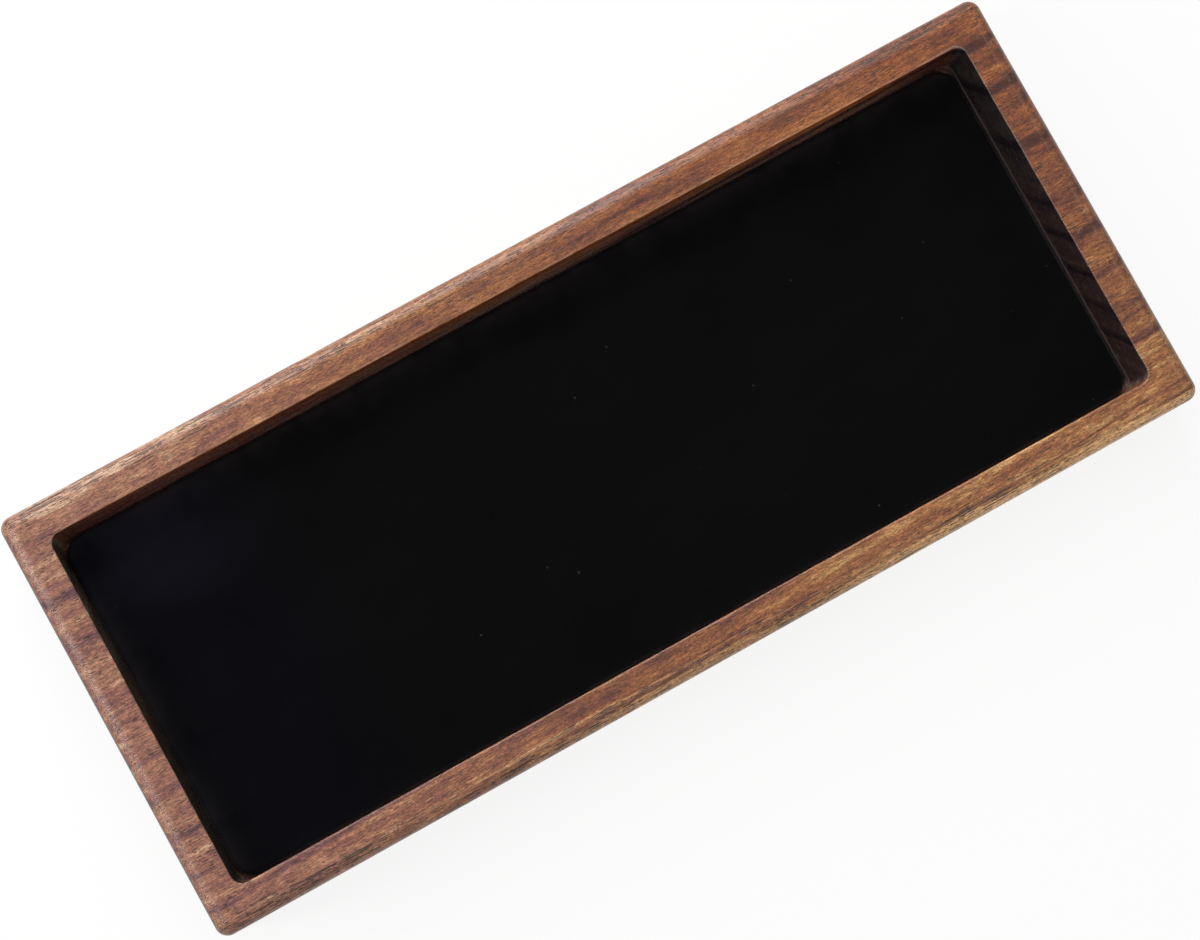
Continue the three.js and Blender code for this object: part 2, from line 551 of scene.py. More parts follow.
@dataclass(frozen=True)
class Effect:
    """A shader effect that several finishes share, built once as a node group.

    Its inputs are a vector and the named numbers, and it has one output.
    """

    name: str
    inputs: tuple[str, ...]
    build: Callable[[Graph, dict[str, Socket]], Socket]

    def tree(self) -> bpy.types.NodeTree:
        """Makes the node group on the first call.

        Returns:
            The group.
        """
        if self.name in bpy.data.node_groups:
            return bpy.data.node_groups[self.name]
        tree = bpy.data.node_groups.new(self.name, "ShaderNodeTree")
        tree.interface.new_socket(name="Vector", in_out="INPUT", socket_type="NodeSocketVector")
        for name in self.inputs:
            tree.interface.new_socket(name=name, in_out="INPUT", socket_type="NodeSocketFloat")
        tree.interface.new_socket(name=self.name, in_out="OUTPUT", socket_type="NodeSocketFloat")
        graph = Graph(tree)
        entry = graph.node("NodeGroupInput")
        given = {socket.name: socket for socket in entry.outputs if socket.name}
        graph.node("NodeGroupOutput", self.build(graph, given))
        return tree


def build_fibres(graph: Graph, given: dict[str, Socket]) -> Socket:
    """Long thin streaks: noise that is drawn out along X.

    Args:
        graph: The group's tree.
        given: Vector, Length and Width, in metres.

    Returns:
        Streaks, from 0 to 1.
    """
    along, across = (graph.math("DIVIDE", 1.0, given[name]) for name in ("Length", "Width"))
    scale = graph.made("ShaderNodeCombineXYZ", along, across, across)
    streaks = graph.noise(graph.stretch(given["Vector"], scale), detail=3.0, roughness=0.6)
    return graph.remap(streaks, *FIBRE_RANGE)


def build_specks(graph: Graph, given: dict[str, Socket]) -> Socket:
    """Scattered specks: small spheres round some of the points of a loose cloud.

    A speck's reach is its size times a random number from 0.4 to 1.4. It is full up to 0.4 of
    that reach and fades out over the rest.

    Args:
        graph: The group's tree.
        given: Vector, Spacing and Size, in metres, and Share, the share of points that show.

    Returns:
        Specks, from 0 to 1.
    """
    place = graph.shade(given["Vector"], graph.math("DIVIDE", 1.0, given["Spacing"]))
    distance, pick = graph.cells(place)
    shown = graph.math("LESS_THAN", pick[0], given["Share"])
    reach = graph.math("DIVIDE", given["Size"], given["Spacing"])
    reach = graph.times(reach, graph.math("ADD", pick[1], LEAST_SPECK))
    return graph.times(graph.remap(distance, graph.times(reach, SPECK_CORE), reach, 1.0, 0.0), shown)


FIBRES = Effect("Fibres", ("Length", "Width"), build_fibres)
SPECKS = Effect("Specks", ("Spacing", "Size", "Share"), build_specks)


class Finish(Graph):
    """A material in the making: its graph, its shader, and where a point lies and faces."""

    def __init__(self, name: str) -> None:
        """Makes an empty material that ends in one Principled shader.

        Args:
            name: The material's name.
        """
        self.material = bpy.data.materials.new(name)
        self.material.use_nodes = True
        super().__init__(self.material.node_tree)
        self.tree.nodes.clear()
        self.shader = self.node("ShaderNodeBsdfPrincipled")
        self.node("ShaderNodeOutputMaterial", self.shader.outputs[0])
        coordinates = self.node("ShaderNodeTexCoord")
        self.place = coordinates.outputs["Object"]
        self.facing = coordinates.outputs["Normal"]

    def bump(self, height: Socket, depth: float) -> None:
        """Gives the surface a fine relief.

        Args:
            height: Height, from 0 to 1.
            depth: How deep a height of 1 is, in metres.
        """
        node = self.node("ShaderNodeBump")
        self.feed(node, Distance=depth, Height=height)
        self.feed(self.shader, Normal=node.outputs[0])

    def grains(self, grain: Grain) -> Socket:
        """The place on the piece, counted in grains of this length and width."""
        length, width = grain
        return self.stretch(self.place, (1 / length, 1 / width, 1 / width))

    def patches(self, grain: Grain, detail: float = 2.0) -> Socket:
        """Noise in patches of this length and width, mostly from 0.3 to 0.7."""
        return self.noise(self.grains(grain), detail)

    def effect(self, effect: Effect, *numbers: float) -> Socket:
        """The output of a shared effect, given its numbers in order."""
        return self.made("ShaderNodeGroup", self.place, *numbers, node_tree=effect.tree())


@dataclass(frozen=True)
class Cloud:
    """A soft patch of paler or darker wood: its middle, its reach and its change of tone."""

    x: float
    y: float
    reach: float
    change: float


@dataclass(frozen=True)
class Line:
    """A thin line along the front edge.

    It lies at a place across the board, and rises that far to the back at the right. Its strength
    changes with the distance from it, and it draws the wood towards its tone.
    """

    place: float
    rise: float
    strength: Change
    tone: float = 1.0


@dataclass(frozen=True)
class Walnut:
    """Oiled walnut, with growth rings, mottle, ribbon figure, fibres, pores and darker end grain.

    The rings run along the board and rise a little to the back as they go right. Each is given by
    its place across the rim's face at the middle of the board, and by how dark it is. A pale streak
    lies outside one more line along the front edge. Tints multiply the wood's colour: along the board
    they paint a pale, cool haze on the left end, a painted reflection, and in the pocket they paint
    light and shade on the walls. Their stops go by the smooth share of the board's length, or of its
    width on the two end walls.
    """

    woods: tuple[Colour, ...] = (
        srgb(74, 42, 36),
        srgb(108, 65, 53),
        srgb(134, 83, 57),
        srgb(155, 103, 67),
        srgb(184, 141, 97),
    )
    pore: Colour = srgb(42, 25, 20)
    # Pale colour of worn wood, also a painted highlight on the lip and on the ridge of the top edge.
    worn_and_lit: Colour = srgb(204, 168, 140)
    # A pale line at the foot of the pocket's walls, weaker to the left: a painted highlight.
    foot_highlight: Colour = srgb(130, 107, 107)
    sap: Colour = srgb(222, 172, 120)
    # Tints along the board: the pale, cool haze they give the left end is a painted reflection.
    painted_tints: Stops = (
        (0.0, (1.02, 1.15, 1.66)),
        (0.146, (1.02, 1.07, 1.28)),
        (0.375, (0.98, 0.96, 0.86)),
        (1.0, (0.97, 0.97, 0.86)),
    )
    back_right_tint: Colour = (0.97, 0.83, 0.62)
    right_part: Change = (0.375, 0.85)
    back_part: Change = (-42 * MM, 42 * MM)
    # Painted light and shade in the pocket, as tints: along the board at the top of the walls and at their
    # foot, then the front wall and the two end walls.
    wall_painted_shading: Stops = (
        (0.1, (0.98, 0.74, 0.56)),
        (0.5, (1.6, 1.25, 0.88)),
        (0.8, (2.0, 1.85, 1.6)),
        (0.94, (3.0, 2.7, 2.3)),
        (0.955, (2.2, 1.9, 1.4)),
        (0.985, (2.6, 2.1, 2.3)),
        (0.996, (1.0, 0.9, 1.0)),
    )
    foot_painted_shading: Stops = (
        (0.1, (0.85, 0.72, 0.95)),
        (0.5, (1.3, 1.9, 3.0)),
        (0.9, (1.27, 2.0, 3.8)),
        (0.978, (1.27, 1.9, 3.5)),
        (0.992, (0.9, 0.9, 1.5)),
    )
    front_wall_painted_shade: Colour = (0.72, 0.68, 0.66)
    left_wall_painted_shading: Stops = (
        (0.1, (0.42, 0.72, 0.72)),
        (0.5, (0.75, 1.1, 1.05)),
        (0.85, (1.15, 1.75, 1.95)),
    )
    right_wall_painted_shade: Stops = (
        (0.1, (0.42, 0.6, 1.4)),
        (0.5, (0.47, 0.8, 1.8)),
        (0.85, (0.4, 0.95, 2.1)),
    )
    wall_reach: float = 40 * MM
    wall_turn: Change = (0.3, 0.8)
    wall_start: Change = (0.0, 0.007)
    wall_foot: Change = (0.1, 0.6)
    # Painted shade towards the end walls' foot.
    end_wall_painted_shade: Change = (0.2, 0.84, 1.0, 0.8)
    foot_highlight_along: Change = (0.05, 0.6, 0.12, 0.3)
    foot_highlight_depth: Change = (0.82, 0.86)
    end_grain_turn: Change = (0.72, 0.99)
    end_grain_share: float = 0.36
    rings: tuple[Pair, ...] = (
        (-38.5 * MM, 0.45),
        (-30.5 * MM, 0.32),
        (-22.0 * MM, 0.42),
        (-12.5 * MM, 0.45),
        (-4.0 * MM, 0.35),
        (10.0 * MM, 0.4),
        (24.0 * MM, 0.5),
        (34.5 * MM, 0.4),
    )
    plain_back: tuple[Pair, ...] = ((44 * MM, 0.45), (50 * MM, 0.62), (60 * MM, 0.75))
    ring_reach: float = 60 * MM
    ring_start: float = 1 * MM
    ring_fade: float = 2.4 * MM
    ring_lift: float = 0.08
    ring_rise: float = 0.045
    ring_tilt: float = 0.4
    ring_shares: Ends = (0.7, 1.3)
    face_height: float = 26 * MM
    board_reach: float = 120 * MM
    # Size, detail and reach of the slow noise that bends the rings.
    drifts: tuple[tuple[Grain, float, float], ...] = (
        ((70 * MM, 35 * MM), 1.0, 1.2 * MM),
        ((14 * MM, 5 * MM), 2.0, 0.6 * MM),
    )
    clouds: tuple[Cloud, ...] = (
        Cloud(-88 * MM, 46 * MM, 45 * MM, 0.15),
        Cloud(-20 * MM, -46 * MM, 62 * MM, -0.25),
        Cloud(90 * MM, -46 * MM, 32 * MM, 0.07),
        Cloud(34 * MM, 46 * MM, 40 * MM, -0.08),
        Cloud(-88 * MM, -46 * MM, 34 * MM, -0.06),
        Cloud(116 * MM, 22 * MM, 50 * MM, -0.26),
    )
    base_tone: float = 0.56
    edge_tone: float = 0.66
    line_spacing: float = 2.1 * MM
    line_sway: float = 0.28
    # Size and sway of the mottle and of the ribbon figure.
    mottles: tuple[tuple[Grain, float], ...] = (((13 * MM, 2.4 * MM), 0.55), ((3.2 * MM, 0.9 * MM), 0.34))
    # A dark line where the front roundover starts: partly a growth ring, partly painted shade.
    dark_line: Line = Line(-47.5 * MM, 3.4 * MM, (0.12 * MM, 0.45 * MM, 0.6, 0.0), tone=0.12)
    dark_line_shown: Change = (35 * MM, 60 * MM)
    pale_line: Line = Line(-46.9 * MM, 0.0, (0.1 * MM, 0.4 * MM, 0.8, 0.0))
    pale_line_shown: Stops = ((0.12, grey(0)), (0.22, grey(1)), (0.45, grey(1)), (0.7, grey(0)))
    sap_line: Line = Line(-47.9 * MM, 0.0, (0.0, 0.6 * MM))
    sap_shown: Stops = ((0.15, grey(0)), (0.375, grey(0.6)), (0.62, grey(0.5)), (0.85, grey(1)))
    line_bend: Change = (55 * MM, 155 * MM)
    wander: Grain = (24 * MM, 9 * MM)
    wander_reach: float = 1.4 * MM
    # Size and shades of the coarse fibres, the fine ones and the flecks.
    fibres: tuple[tuple[Grain, Ends], ...] = (
        ((6 * MM, 0.4 * MM), (0.84, 1.15)),
        ((1.6 * MM, 0.22 * MM), (0.66, 1.34)),
        ((0.6 * MM, 0.24 * MM), (0.68, 1.3)),
    )
    long_pore: Grain = (4.2 * MM, 0.34 * MM)
    short_pore: Grain = (1.7 * MM, 0.3 * MM)
    streak: Grain = (12 * MM, 0.5 * MM)
    streaks_shown: Change = (45 * MM, 47 * MM)
    crowd: Grain = (30 * MM, 2.5 * MM)
    crowd_reach: Change = (0.3, 0.7, 0.18, 0.44)
    edge_crowd: Change = (46 * MM, 48 * MM, 0.0, 0.16)
    pore_pick: Change = (0.25, 0.9, 0.1, 1.0)
    pore_core: float = 0.6
    open_edge: Change = (45 * MM, 46.8 * MM)
    open_end: Change = (106 * MM, 112 * MM)
    pores_shown: Ends = (0.6, 1.0)
    pore_share: float = 0.8
    wear_and_highlight_patch: Grain = (3 * MM, 1.2 * MM)
    wear_and_highlight_patches: Change = (0.3, 0.65, 0.2, 1.0)
    wear_and_highlight_share: float = 0.5
    roughness: Ends = (0.29, 0.2)
    pore_depth: float = 0.08 * MM
    pore_relief: float = 0.8

    def share_along(self, finish: Finish) -> Socket:
        """How far along the board a point lies, smoothly from 0 at its left end to 1."""
        return finish.remap(finish.axes(finish.place)[0], -self.board_reach, self.board_reach)

    def ring_place(self, finish: Finish) -> Socket:
        """Where across the growth rings a point lies.

        It is y - rise * x + tilt * (z - face height), moved about by slow noise so that the rings
        wander along the board.

        Args:
            finish: The material in the making.

        Returns:
            The place, in metres.
        """
        x, y, z = finish.axes(finish.place)
        place = finish.math("SUBTRACT", y, finish.times(x, self.ring_rise))
        depth = finish.math("SUBTRACT", z, self.face_height)
        place = finish.math("ADD", place, finish.times(depth, self.ring_tilt))
        for grain, detail, reach in self.drifts:
            place = finish.sway(place, finish.patches(grain, detail), reach)
        return place

    def ring_tone(self, finish: Finish, place: Socket) -> Socket:
        """The rings' tone. Each darkens over a millimetre and fades out slowly to its back.

        Args:
            finish: The material in the making.
            place: Where across the rings a point lies.

        Returns:
            The tone, from 0, dark, to 1, light.
        """
        stops = [(-self.ring_reach, self.edge_tone)]
        before = self.edge_tone
        for ring, strength in self.rings:
            stops.append((ring - self.ring_start, before))
            stops.append((ring, self.base_tone - strength))
            stops.append((ring + self.ring_fade, self.base_tone + self.ring_lift))
            before = self.base_tone
        stops += self.plain_back
        span = 2 * self.ring_reach
        place = finish.math("ADD", finish.math("DIVIDE", place, span), 0.5)
        return finish.ramp(place, [(stop / span + 0.5, grey(tone)) for stop, tone in stops])

    def outside(self, finish: Finish, line: Line) -> Socket:
        """How far a point lies in front of a line, which rises smoothly and wanders by slow noise.

        Args:
            finish: The material in the making.
            line: The line.

        Returns:
            The distance, in metres.
        """
        x, y, _ = finish.axes(finish.place)
        bend = finish.remap(x, *self.line_bend, line.place, line.place + line.rise)
        past = finish.math("SUBTRACT", bend, y)
        return finish.sway(past, finish.patches(self.wander), self.wander_reach)

    def lined(self, finish: Finish, tone: Socket, line: Line, shown: Socket) -> Socket:
        """The tone with a thin line over it, as far as the line is shown."""
        away = finish.math("ABSOLUTE", self.outside(finish, line))
        return finish.lean(tone, line.tone, finish.times(finish.remap(away, *line.strength), shown))

    def tone(self, finish: Finish) -> Socket:
        """How light the clean wood is: rings, clouds, fine lines, mottle, ribbon figure and lines.

        Args:
            finish: The material in the making.

        Returns:
            The tone, from 0, dark, to 1, light.
        """
        place = self.ring_place(finish)
        along = self.share_along(finish)
        shares = finish.between(along, self.ring_shares)
        tone = finish.lean(self.base_tone, self.ring_tone(finish, place), shares)
        for cloud in self.clouds:
            middle = (cloud.x, cloud.y, self.face_height)
            away = finish.node("ShaderNodeVectorMath", finish.place, middle, operation="DISTANCE")
            change = finish.remap(away.outputs["Value"], 0.0, cloud.reach, cloud.change, 0.0)
            tone = finish.math("ADD", tone, change)
        lines = finish.noise_along(finish.math("DIVIDE", place, self.line_spacing))
        tone = finish.sway(tone, lines, self.line_sway)
        for grain, reach in self.mottles:
            tone = finish.sway(tone, finish.patches(grain), reach)
        shown = finish.remap(finish.axes(finish.place)[0], *self.dark_line_shown)
        tone = self.lined(finish, tone, self.dark_line, shown)
        return self.lined(finish, tone, self.pale_line, finish.ramp(along, self.pale_line_shown))

    def figure(self, finish: Finish) -> Socket:
        """The colour of the clean wood: its tone through the woods, its tint along the board with a painted
        haze at the left end, and the pale streak.

        Args:
            finish: The material in the making.

        Returns:
            The colour.
        """
        along = self.share_along(finish)
        last = len(self.woods) - 1
        stops = [(step / last, wood) for step, wood in enumerate(self.woods)]
        colour = finish.ramp(self.tone(finish), stops)
        back = finish.remap(finish.axes(finish.place)[1], *self.back_part)
        back_right = finish.times(finish.remap(along, *self.right_part), back)
        tint = finish.mix(back_right, finish.ramp(along, self.painted_tints), self.back_right_tint)
        colour = finish.mix(1.0, colour, tint, "MULTIPLY")
        sap = finish.remap(self.outside(finish, self.sap_line), *self.sap_line.strength)
        return finish.mix(finish.times(sap, finish.ramp(along, self.sap_shown)), colour, self.sap)

    def painted_wall_shading(self, finish: Finish, depth: Socket) -> Socket:
        """The tint of the pocket's walls, white above them.

        The tint is painted light and shade. The end walls go by y and darken towards their foot. The back
        wall goes by x, with one row of stops for its top and one for its foot. The front wall has one tint.

        Args:
            finish: The material in the making.
            depth: How deep in the pocket a point lies, from 0 to 1.

        Returns:
            The tint.
        """
        along = self.share_along(finish)
        inward = finish.remap(finish.axes(finish.place)[1], -self.wall_reach, self.wall_reach)
        facing = finish.axes(finish.facing)
        rows = (self.left_wall_painted_shading, self.right_wall_painted_shade)
        ends = finish.mix(along, *(finish.ramp(inward, stops) for stops in rows))
        ends = finish.shade(ends, finish.remap(depth, *self.end_wall_painted_shade))
        painted_tints = (finish.ramp(along, stops) for stops in (self.wall_painted_shading, self.foot_painted_shading))
        sides = finish.mix(finish.remap(depth, *self.wall_foot), *painted_tints)
        sides = finish.mix(finish.remap(facing[1], *self.wall_turn), sides, self.front_wall_painted_shade)
        at_end = finish.remap(finish.math("ABSOLUTE", facing[0]), *self.wall_turn)
        walls = finish.mix(at_end, sides, ends)
        return finish.mix(finish.remap(depth, *self.wall_start), WHITE, walls)

    def end_grain_and_painted_walls(self, finish: Finish, colour: Socket) -> Socket:
        """The colour with darker end grain, which looks along the board, and painted light and shade in the
        pocket.

        Args:
            finish: The material in the making.
            colour: The colour so far.

        Returns:
            The colour.
        """
        steep = finish.math("ABSOLUTE", finish.axes(finish.facing)[0])
        steep = finish.remap(steep, *self.end_grain_turn)
        colour = finish.shade(colour, finish.between(steep, (1.0, self.end_grain_share)))
        depth = finish.share_of("depth")
        # Painted light and shade on the pocket's walls, as a tint.
        colour = finish.mix(1.0, colour, self.painted_wall_shading(finish, depth), "MULTIPLY")
        # A pale line at the walls' foot, weaker towards the left end: a painted highlight.
        foot_highlight = finish.remap(self.share_along(finish), *self.foot_highlight_along)
        return finish.mix(finish.times(finish.remap(depth, *self.foot_highlight_depth), foot_highlight), colour, self.foot_highlight)

    def pores_of(self, finish: Finish, grain: Grain, crowd: Socket) -> Socket:
        """Pores of one size: cells drawn out along X, dashes on the faces and dots on end grain.

        Args:
            finish: The material in the making.
            grain: Length and width of the cells.
            crowd: How much of its cell a pore may fill.

        Returns:
            A mask, 1 in a pore.
        """
        distance, pick = finish.cells(finish.grains(grain))
        reach = finish.times(crowd, finish.remap(pick[0], *self.pore_pick))
        return finish.remap(distance, finish.times(reach, self.pore_core), reach, 1.0, 0.0)

    def pores(self, finish: Finish) -> Socket:
        """All pores. They crowd in drawn-out patches and at the long outer edges, with streaks.

        They are fainter on the rims, away from the outer edges and the ends.

        Args:
            finish: The material in the making.

        Returns:
            A mask, 1 in a pore.
        """
        x, y, _ = finish.axes(finish.place)
        outward = finish.math("ABSOLUTE", y)
        crowd = finish.remap(finish.patches(self.crowd, detail=1.0), *self.crowd_reach)
        crowd = finish.math("ADD", crowd, finish.remap(outward, *self.edge_crowd))
        grains = (self.long_pore, self.short_pore, self.streak)
        *pores, streaks = (self.pores_of(finish, grain, crowd) for grain in grains)
        edge = finish.remap(outward, *self.open_edge)
        shown = finish.math("MAXIMUM", edge, finish.remap(finish.math("ABSOLUTE", x), *self.open_end))
        pores = finish.math("MAXIMUM", *pores)
        pores = finish.times(pores, finish.between(shown, self.pores_shown))
        streaks = finish.times(streaks, finish.remap(outward, *self.streaks_shown))
        return finish.math("MAXIMUM", pores, streaks)

    def material(self) -> bpy.types.Material:
        """Makes the material.

        Returns:
            The finished material.
        """
        finish = Finish("oiled_walnut")
        colour = self.figure(finish)
        streaks = [finish.effect(FIBRES, *grain) for grain, _ in self.fibres]
        for streak, (_, shades) in zip(streaks, self.fibres):
            colour = finish.shade(colour, finish.between(streak, shades))
        pores = self.pores(finish)
        colour = finish.mix(finish.times(pores, self.pore_share), colour, self.pore)
        # Worn, paler wood in patches, and a painted highlight on the lip and the top edge's ridge.
        patches = finish.remap(finish.patches(self.wear_and_highlight_patch), *self.wear_and_highlight_patches)
        wear_and_highlight = finish.times(finish.share_of("wear_and_highlight"), patches)
        colour = finish.mix(finish.times(wear_and_highlight, self.wear_and_highlight_share), colour, self.worn_and_lit)
        colour = self.end_grain_and_painted_walls(finish, colour)
        fine = streaks[1]
        roughness = finish.between(fine, self.roughness)
        finish.feed(finish.shader, Base_Color=colour, Roughness=roughness, Specular_IOR_Level=0.35)
        height = finish.lean(fine, finish.math("SUBTRACT", 1.0, pores), self.pore_relief)
        finish.bump(height, self.pore_depth)
        return finish.material


@dataclass(frozen=True)
class Velvet:
    """Short black pile: almost no light comes back, apart from a cool sheen and a little lint.

    Where the cloth turns over the card's edge, and near the back and left edges of its face, a painted
    sheen makes it less dark. Painted light makes it lighter towards the back, most of all at the back
    left, and a painted cool sheen makes its left end bluer.
    """

    pile: Colour = (0.0024, 0.0024, 0.0031)
    # Paler pile: a painted sheen on the roll and near the back and left edges.
    painted_sheen: Colour = (0.05, 0.043, 0.043)
    lint: Colour = (0.03, 0.03, 0.034)
    sheen: Colour = (0.8, 0.84, 1.0)
    tuft: Grain = (0.16 * MM, 0.16 * MM)
    tuft_shades: Change = (0.3, 0.7, 0.7, 1.35)
    tuft_depth: float = 0.12 * MM
    brushing: Grain = (1 / 38, 1 / 60)
    brushing_shades: Change = (0.3, 0.7, 0.85, 1.2)
    # Painted light: the pile is lighter towards the back, most of all at the back left, and a painted cool
    # sheen tints its left end.
    back_part: Change = (10 * MM, 40 * MM)
    left_part: Change = (-66 * MM, -108 * MM)
    back_painted_light: Ends = (1.0, 1.4)
    back_left_painted_light: float = 3.4
    cool_part: Change = (-55 * MM, -88 * MM)
    middle_painted_tint: Colour = (1.0, 1.0, 0.82)
    painted_cool_sheen: Colour = (1.0, 1.0, 1.35)
    painted_sheen_patch: Grain = (6 * MM, 6 * MM)
    painted_sheen_patches: Change = (0.3, 0.6, 0.5, 1.0)
    lint_scatter: Scatter = (6 * MM, 0.3 * MM, 0.5)

    def material(self) -> bpy.types.Material:
        """Makes the material.

        Returns:
            The finished material.
        """
        finish = Finish("black_velvet")
        tufts = finish.patches(self.tuft)
        colour = finish.shade(self.pile, finish.remap(tufts, *self.tuft_shades))
        brushed = finish.remap(finish.patches(self.brushing), *self.brushing_shades)
        colour = finish.shade(colour, brushed)
        x, y, _ = finish.axes(finish.place)
        # Painted light towards the back and at the back left, then a painted cool sheen at the left end.
        back = finish.remap(y, *self.back_part)
        back_left = finish.times(back, finish.remap(x, *self.left_part))
        painted_lift = finish.between(back, self.back_painted_light)
        painted_lift = finish.math("ADD", painted_lift, finish.times(back_left, self.back_left_painted_light))
        colour = finish.shade(colour, painted_lift)
        cool = finish.mix(finish.remap(x, *self.cool_part), self.middle_painted_tint, self.painted_cool_sheen)
        colour = finish.mix(1.0, colour, cool, "MULTIPLY")
        # A painted sheen where the cloth turns over the card and near the back and left edges.
        patches = finish.remap(finish.patches(self.painted_sheen_patch, detail=1.0), *self.painted_sheen_patches)
        colour = finish.mix(finish.times(finish.share_of("wear_and_highlight"), patches), colour, self.painted_sheen)
        colour = finish.mix(finish.effect(SPECKS, *self.lint_scatter), colour, self.lint)
        finish.feed(finish.shader, Base_Color=colour, Roughness=1.0, Specular_IOR_Level=0.05)
        finish.feed(finish.shader, Sheen_Weight=0.095, Sheen_Roughness=0.35, Sheen_Tint=self.sheen)
        finish.bump(tufts, self.tuft_depth)
        return finish.material


@dataclass(frozen=True)
class Matt:
    """A plain finish, in which fibres or grains change the colour, the roughness and the relief."""

    name: str
    colour: Colour
    grain: Grain
    shades: Change
    roughness: Change
    relief: float
    speck: Colour = WHITE
    scatter: Scatter | None = None
    speck_share: float = 0.0

    def texture(self, finish: Finish) -> Socket:
        """Streaks of fibre, from 0 to 1."""
        return finish.effect(FIBRES, *self.grain)

    def material(self) -> bpy.types.Material:
        """Makes the material.

        Returns:
            The finished material.
        """
        finish = Finish(self.name)
        texture = self.texture(finish)
        colour = finish.shade(self.colour, finish.remap(texture, *self.shades))
        if self.scatter:
            specks = finish.times(finish.effect(SPECKS, *self.scatter), self.speck_share)
            colour = finish.mix(specks, colour, self.speck)
        roughness = finish.remap(texture, *self.roughness)
        finish.feed(finish.shader, Base_Color=colour, Roughness=roughness)
        finish.bump(texture, self.relief)
        return finish.material


@dataclass(frozen=True)
class GreyCard(Matt):
    """Uncoated grey card with paper fibres and darker specks."""

    name: str = "grey_card"
    colour: Colour = srgb(142, 139, 130)
    grain: Grain = (1.5 * MM, 0.4 * MM)
    shades: Change = (0.0, 1.0, 0.9, 1.08)
    roughness: Change = (0.0, 1.0, 0.95, 0.85)
    relief: float = 0.03 * MM
    speck: Colour = srgb(96, 92, 84)
    scatter: Scatter | None = (2.5 * MM, 0.5 * MM, 0.6)
    speck_share: float = 0.6


@dataclass(frozen=True)
class TissueTape(Matt):
    """Off-white double-sided tape with a tissue carrier in it."""

    name: str = "tissue_tape"
    colour: Colour = srgb(221, 216, 203)
    grain: Grain = (4 * MM, 0.3 * MM)
    shades: Change = (0.0, 1.0, 0.92, 1.04)
    roughness: Change = (0.0, 1.0, 0.45, 0.3)
    relief: float = 0.02 * MM


@dataclass(frozen=True)
class FootRubber(Matt):
    """Matt black rubber with a fine moulded grain and a few specks of dirt."""

    name: str = "foot_rubber"
    colour: Colour = srgb(30, 30, 31)
    grain: Grain = (0.25 * MM, 0.25 * MM)
    shades: Change = (0.3, 0.7, 0.85, 1.15)
    roughness: Change = (0.3, 0.7, 0.85, 0.7)
    relief: float = 0.02 * MM
    speck: Colour = srgb(92, 88, 82)
    scatter: Scatter | None = (1.6 * MM, 0.22 * MM, 0.5)
    speck_share: float = 0.5

    def texture(self, finish: Finish) -> Socket:
        """The moulded grain, mostly from 0.3 to 0.7."""
        return finish.patches(self.grain)


